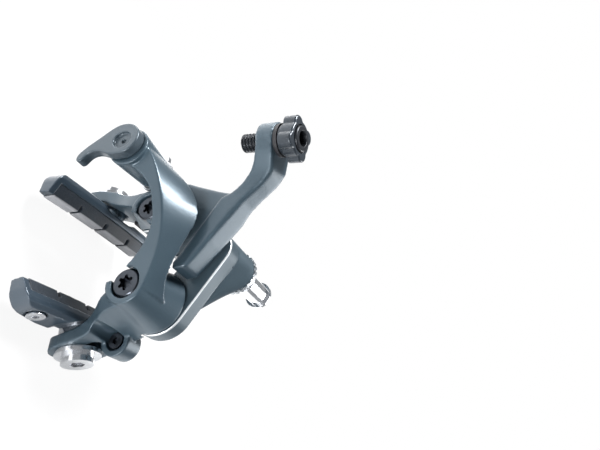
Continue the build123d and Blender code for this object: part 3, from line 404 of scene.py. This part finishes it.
NUT_SHADES = rgb(0.018, 0.025, 0.034), rgb(0.032, 0.041, 0.052)
THREAD_SHADES = rgb(0.012, 0.014, 0.018), rgb(0.022, 0.025, 0.030)
PLASTIC_SHADES = rgb(0.012, 0.012, 0.014), rgb(0.022, 0.022, 0.026)
BUSH_SHADES = rgb(0.05, 0.05, 0.055), rgb(0.07, 0.07, 0.075)

nut_black = plain_black("nut_black", *NUT_SHADES, rough=0.26, metallic=0.45, coat=0.3)
thread_black = plain_black("thread_black", *THREAD_SHADES, rough=0.30, metallic=0.5)
black_plastic = plain_black("black_plastic", *PLASTIC_SHADES, rough=0.45, metallic=0.0)
bush_plastic = plain_black("bush_plastic", *BUSH_SHADES, rough=0.40, metallic=0.0)

# %% [markdown]
# ## A finish for every piece
#
# Every CAD piece gets its finish by name. The two shoes are alike, so a loop names their
# pieces for both sides.

# %% Give every CAD node its finish
finishes = {
    "bridge": bridge_paint.material, "c_arm": arm_paint.material, "y_arm": arm_paint.material,
    "mounting_stud": chrome, "mounting_washer": washer_zinc, "sleeve_nut": chrome,
    "centering_screw": screw_steel, "return_spring": wire_steel,
    "release_lever": lever_paint.material, "release_shaft": release_alloy,
    "clamp_plate": release_alloy, "anchor_bolt": release_alloy,
    "barrel": thread_black, "adjuster_nut": nut_black, "seal": black_plastic,
    "right_pivot_pin": pin_steel, "left_pivot_pin": far_pin_steel,
}
for side in ("right", "left"):
    for part, finish in (
        ("bush", bush_plastic), ("thrust_washer", bush_plastic), ("spring_seat", black_plastic),
        ("shoe_bolt", steel[side]), ("spacer", steel[side]), ("dish_washer", steel[side]),
        ("dome_washer", steel[side]), ("holder", holder_paint.material), ("pad", pad_rubber),
        ("retaining_screw", steel[side]),
    ):
        finishes[side + "_" + part] = finish
for name, finish in finishes.items():
    data = nodes[name].data
    data.materials.clear()
    data.materials.append(finish)
print("finishes given:", len(finishes))

# %% [markdown]
# ## Soft edges
#
# A CAD solid has knife edges. A painted forging has edges rounded by about a millimetre,
# and a moulded pad by a few tenths, and these catch the light as thin bright lines. A
# bevel would fail where many small faces meet at odd angles. A voxel remesh works on any
# solid: it turns each shell into small even squares, and a few rounds of smoothing melt
# the edges.

# %% Which body a node belongs to
BODY_OF = {}
for body, members in frame["record"]["behaviour"]["bodies"].items():
    for member in members:
        BODY_OF[member] = body
print("bodies:", sorted(set(BODY_OF.values())))


# %% Soften a solid
MERGE_DISTANCE = 0.002


def settle(piece):
    """Makes a piece's modifiers plain mesh, shaded smooth."""
    graph = bpy.context.evaluated_depsgraph_get()
    mesh = bpy.data.meshes.new_from_object(piece.evaluated_get(graph))
    piece.modifiers.clear()
    piece.vertex_groups.clear()
    piece.data = mesh
    for face in mesh.polygons:
        face.use_smooth = True
    return mesh


def add_smoothing(piece, rounds):
    smooth = piece.modifiers.new("melt", "SMOOTH")
    smooth.factor = 0.5
    smooth.iterations = rounds
    return smooth


def softened(node, voxel, rounds):
    """A copy of a node with melted edges; the voxel is in millimetres."""
    mesh = nodes[node].data.copy()
    shell = bmesh.new()
    shell.from_mesh(mesh)
    bmesh.ops.remove_doubles(shell, verts=shell.verts, dist=MERGE_DISTANCE * MM)
    shell.to_mesh(mesh)
    shell.free()
    piece = bpy.data.objects.new("soft_" + node, mesh)
    bpy.context.collection.objects.link(piece)
    remesh = piece.modifiers.new("even", "REMESH")
    remesh.mode = "VOXEL"
    remesh.voxel_size = voxel * MM
    add_smoothing(piece, rounds)
    soft = settle(piece)
    soft.materials.clear()
    soft.materials.append(finishes[node])
    print(piece.name, "faces", len(soft.polygons))
    return piece


def stand_in(piece, node):
    """Lets a piece take its node's place and body."""
    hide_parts(node)
    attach(piece, BODY_OF[node])


# %% [markdown]
# ## The short arm's limb
#
# The short arm's upper limb is one smooth forged curve up to the eyelet that holds the
# adjuster. Its CAD outline is made of short straight lines, which leave faint creases.
# Smoothing the whole arm as hard as they need would wash out the eyelet and the hub, so a
# vertex group limits the strong smoothing to the limb.

# %% Smooth a part of a piece
LEAN = math.radians(13.5)
NOD = math.radians(7.0)
adjuster_way = Vector((math.tan(LEAN), -math.tan(NOD), 1.0)).normalized()
eyelet_middle = Vector((-31.3, -28.0, 22.3))
EYELET_REACH = 7.0
EYELET_FADE = 3.0
LIMB_FOOT = -9.0
FOOT_FADE = 4.0
LIMB_ROUNDS = 60


def short_arm_limb(point):
    """1 along the short arm's upper limb, 0 at its eyelet and below the limb's foot."""
    offset = point - eyelet_middle
    away = (offset - offset.dot(adjuster_way) * adjuster_way).length
    clear_of_eyelet = min(1.0, max(0.0, (away - EYELET_REACH) / EYELET_FADE))
    above_foot = min(1.0, max(0.0, (point.z - LIMB_FOOT) / FOOT_FADE))
    return clear_of_eyelet * above_foot


def melt_part(piece, rounds, amount):
    """Smooths a part of a piece; amount gives 0 to 1 for a point in millimetres."""
    group = piece.vertex_groups.new(name="melt")
    for vertex in piece.data.vertices:
        share = amount(vertex.co * 1000.0)
        if share > 0.0:
            group.add([vertex.index], share, "REPLACE")
    add_smoothing(piece, rounds).vertex_group = "melt"
    settle(piece)


# %% Soften every main piece: its node, its voxel in millimetres and its rounds
SOFT_EDGES = (
    ("c_arm", 0.30, 6), ("y_arm", 0.30, 6), ("bridge", 0.32, 5),
    ("right_holder", 0.25, 4), ("left_holder", 0.25, 4),
    ("right_pad", 0.25, 2), ("left_pad", 0.25, 2),
    ("release_lever", 0.18, 3),
)
for node, voxel, rounds in SOFT_EDGES:
    piece = softened(node, voxel, rounds)
    if node == "y_arm":
        melt_part(piece, LIMB_ROUNDS, short_arm_limb)
    stand_in(piece, node)

# %% [markdown]
# ## Threads
#
# The adjuster's barrel and the mounting stud are threaded. A ridge swept along a helix
# would stand prouder than the rod and jam in the eyelet, while a real thread is a groove
# cut into it. Geometry Nodes cut it here: each point of the rod knows its height along
# the axis and its angle round it, and the two together say how deep in the groove it
# lies. The rod is remeshed finely first, because the groove needs points to move.
#
# Low and High are the heights where the thread ends, and nothing nearer to the axis than
# Core is moved, so the barrel's bore stays round.

# %% A node tree that cuts a thread
THREAD_FADE = 0.2
CREST_ENDS = 0.15
ROOT_BEGINS = 0.90


def thread_tree(name, material, start, way):
    """Cuts a thread round a line through start; lengths are in metres here."""
    tree = bpy.data.node_groups.new(name, "GeometryNodeTree")
    new_socket = tree.interface.new_socket
    new_socket("Geometry", in_out="INPUT", socket_type="NodeSocketGeometry")
    sockets = {}
    for label in ("Pitch", "Depth", "Low", "High", "Core"):
        size = new_socket(label, in_out="INPUT", socket_type="NodeSocketFloat")
        sockets[label] = size.identifier
    new_socket("Geometry", in_out="OUTPUT", socket_type="NodeSocketGeometry")
    given = add_node(tree, "NodeGroupInput")
    across = way.orthogonal().normalized()
    beside = way.cross(across)

    def vector(operation, first, second, result="Vector"):
        values = {0: first, 1: second}
        node = add_node(tree, "ShaderNodeVectorMath", {"operation": operation}, values)
        return node.outputs[result]

    def scaled(direction, amount):
        values = {0: direction, "Scale": amount}
        node = add_node(tree, "ShaderNodeVectorMath", {"operation": "SCALE"}, values)
        return node.outputs["Vector"]

    offset = vector("SUBTRACT", add_node(tree, "GeometryNodeInputPosition").outputs[0], start)
    height = Field(tree, vector("DOT_PRODUCT", offset, way, "Value"))
    x = Field(tree, vector("DOT_PRODUCT", offset, across, "Value"))
    y = Field(tree, vector("DOT_PRODUCT", offset, beside, "Value"))
    radius = (x * x + y * y).root()
    pitch, depth, low_end, high_end, core = (Field(tree, given.outputs[label]) for label in sockets)
    turns = height / pitch - y.angle(x) / math.tau
    groove = (turns.swing() * 2.0).step(CREST_ENDS, ROOT_BEGINS)
    fade = 1.0 / (THREAD_FADE * MM)
    along = ((height - low_end) * fade).limited() * ((high_end - height) * fade).limited()
    outside = ((radius - core) * fade).limited()
    push = 0.0 - groove * depth * along * outside / radius
    shift = vector("ADD", scaled(across, x * push), scaled(beside, y * push))
    moved = add_node(
        tree, "GeometryNodeSetPosition",
        values={"Geometry": given.outputs["Geometry"], "Offset": shift},
    )
    real = add_node(
        tree, "GeometryNodeRealizeInstances", values={"Geometry": moved.outputs["Geometry"]}
    )
    painted = add_node(
        tree, "GeometryNodeSetMaterial",
        values={"Geometry": real.outputs["Geometry"], "Material": material},
    )
    add_node(tree, "NodeGroupOutput", values={"Geometry": painted.outputs["Geometry"]})
    return tree, sockets


# %% Cut the barrel's thread and the stud's
ROD_VOXEL = 0.16
ROD_ROUNDS = 1


def threaded(node, start, way, sizes):
    """Replaces a rod by one with a thread; start and sizes are in millimetres."""
    piece = softened(node, ROD_VOXEL, ROD_ROUNDS)
    tree, sockets = thread_tree(node + "_thread", finishes[node], Vector(start) * MM, way)
    cut = piece.modifiers.new("thread", "NODES")
    cut.node_group = tree
    for label, value in sizes.items():
        cut[sockets[label]] = value * MM
    settle(piece)
    stand_in(piece, node)
    print(piece.name, "threaded from", sizes["Low"], "to", sizes["High"], "mm")


threaded(
    "barrel", eyelet_middle, adjuster_way,
    {"Pitch": 1.20, "Depth": 0.50, "Low": -9.9, "High": 2.9, "Core": 2.6},
)
threaded(
    "mounting_stud", MIDDLE, Vector(BACKWARDS),
    {"Pitch": 1.0, "Depth": 0.45, "Low": 0.3, "High": 16.6, "Core": 2.5},
)

# %% [markdown]
# ## Floor
#
# The photograph was taken on white. A lit floor is never as white as the paper round a
# product picture, and it darkens towards the horizon. More light would bleach the object
# too. So the floor mixes its own shading with a plain white that only the camera and
# mirrors see: most of it under the object, where the shadow has to stay, and all of it
# further off.

# %% What the camera and mirrors see
MIRROR_SHARE = 0.15
WHITE = rgb(1, 1, 1)


def seen_by_camera(tree):
    """1 for what the camera sees, also through glass, and a share of it for mirrors."""
    paths = add_node(tree, "ShaderNodeLightPath").outputs
    camera_ray = Field(tree, paths["Is Camera Ray"])
    mirror_ray = Field(tree, paths["Is Glossy Ray"])
    glass_ray = Field(tree, paths["Is Transmission Ray"])
    return (camera_ray + mirror_ray * MIRROR_SHARE + glass_ray).limited()


# %% Floor
FLOOR_SIZE = 6.0
FLOOR_DROP = 0.6
PAPER_WHITE = rgb(0.93, 0.93, 0.93)
NEAR_WHITE = 0.91
WHITE_FROM = 60.0
WHITE_TO = 150.0

floor_height = cad_bounds[0][2] - FLOOR_DROP * MM
bpy.ops.mesh.primitive_plane_add(size=FLOOR_SIZE, location=(0, 0, floor_height))
floor = bpy.context.object
floor.name = "floor"

paper = Finish("paper", Roughness=0.9, Specular_IOR_Level=0.0)
paper.paint("Base Color", PAPER_WHITE)
x, y, _ = paper.axes()
far = (x * x + y * y).root().step(WHITE_FROM, WHITE_TO)
whiteness = far * (1.0 - NEAR_WHITE) + NEAR_WHITE
glow = paper.node("ShaderNodeEmission", values={"Color": WHITE, "Strength": 1.0})
blend = paper.node(
    "ShaderNodeMixShader",
    values={
        0: whiteness * seen_by_camera(paper.tree),
        1: paper.shader.outputs[0],
        2: glow.outputs[0],
    },
)
feed(paper.tree, paper.tree.nodes["Material Output"].inputs["Surface"], blend.outputs[0])
floor.data.materials.append(paper.material)
print("the floor lies at", round(floor_height, 4), "m")

# %% [markdown]
# ## World
#
# A studio's walls send a little light back into the shadows. A lamp for each wall would
# do it, but the world is one even light from all sides, so it gives this faint cool fill.
# The camera sees it as white, by the same mix as the floor.

# %% World
SKY = rgb(0.90, 0.95, 1.0)
SKY_STRENGTH = 0.25

world = bpy.data.worlds.new("studio")
bpy.context.scene.world = world
world.use_nodes = True
tree = world.node_tree
sky = tree.nodes["Background"]
sky.inputs["Color"].default_value = SKY
sky.inputs["Strength"].default_value = SKY_STRENGTH
white = add_node(tree, "ShaderNodeBackground", values={"Color": WHITE, "Strength": 1.0})
mixed = add_node(
    tree, "ShaderNodeMixShader",
    values={0: seen_by_camera(tree), 1: sky.outputs[0], 2: white.outputs[0]},
)
feed(tree, tree.nodes["World Output"].inputs["Surface"], mixed.outputs[0])
print("world strength", SKY_STRENGTH)

# %% [markdown]
# ## Lamps
#
# In the photograph the flanks that face the brake's own top and left are nearly white,
# and the fronts stay dark. So the strongest lamp stands high on that side. One nearly as
# strong, beside the camera, lights the braking faces, and two weak ones draw the far
# edges. Point lamps would cast hard shadows, so these are round area lamps.

# %% Lamps: name, place and width in metres, and power in watts
AIM = Vector((-0.005, -0.02, -0.015))
LAMPS = (
    ("key", (-0.34, -0.12, 0.50), 0.26, 8.5),
    ("camera_side", (0.44, -0.36, -0.08), 0.26, 8.0),
    ("far_left", (-0.50, -0.20, -0.05), 0.25, 1.8),
    ("back_rim", (0.10, 0.55, 0.30), 0.40, 2.6),
)
for name, place, size, power in LAMPS:
    light = bpy.data.lights.new(name, "AREA")
    light.shape = "DISK"
    light.size = size
    light.energy = power
    lamp = bpy.data.objects.new(name, light)
    bpy.context.collection.objects.link(lamp)
    lamp.location = place
    lamp.rotation_euler = (AIM - Vector(place)).to_track_quat("-Z", "Y").to_euler()
print("lamps:", len(LAMPS))

# %% [markdown]
# ## Camera
#
# In the photograph the brake lies on its side, while the part stands upright in its own
# frame. Turning the part would move it out of that frame, so the camera is turned
# instead: its three axes say which way the picture's right, its top and the viewer lie.

# %% Camera
CAMERA_PLACE = (0.072204, -0.145355, 0.068186)
PICTURE_RIGHT = Vector((0.00044, 0.29754, 0.95471))
PICTURE_UP = Vector((-0.86594, -0.47738, 0.14918))
TO_VIEWER = Vector((0.50015, -0.82679, 0.25744))
LENS = 30.10
SENSOR = 36.0

camera_data = bpy.data.cameras.new("camera")
camera_data.sensor_width = SENSOR
camera_data.lens = LENS
camera_data.clip_start = 0.005
camera = bpy.data.objects.new("camera", camera_data)
bpy.context.collection.objects.link(camera)
turn = Matrix((PICTURE_RIGHT, PICTURE_UP, TO_VIEWER)).transposed().to_4x4()
camera.matrix_world = Matrix.Translation(CAMERA_PLACE) @ turn
bpy.context.scene.camera = camera
bpy.context.scene.view_settings.view_transform = "Standard"
print("lens", LENS, "mm on a sensor of", SENSOR, "mm")
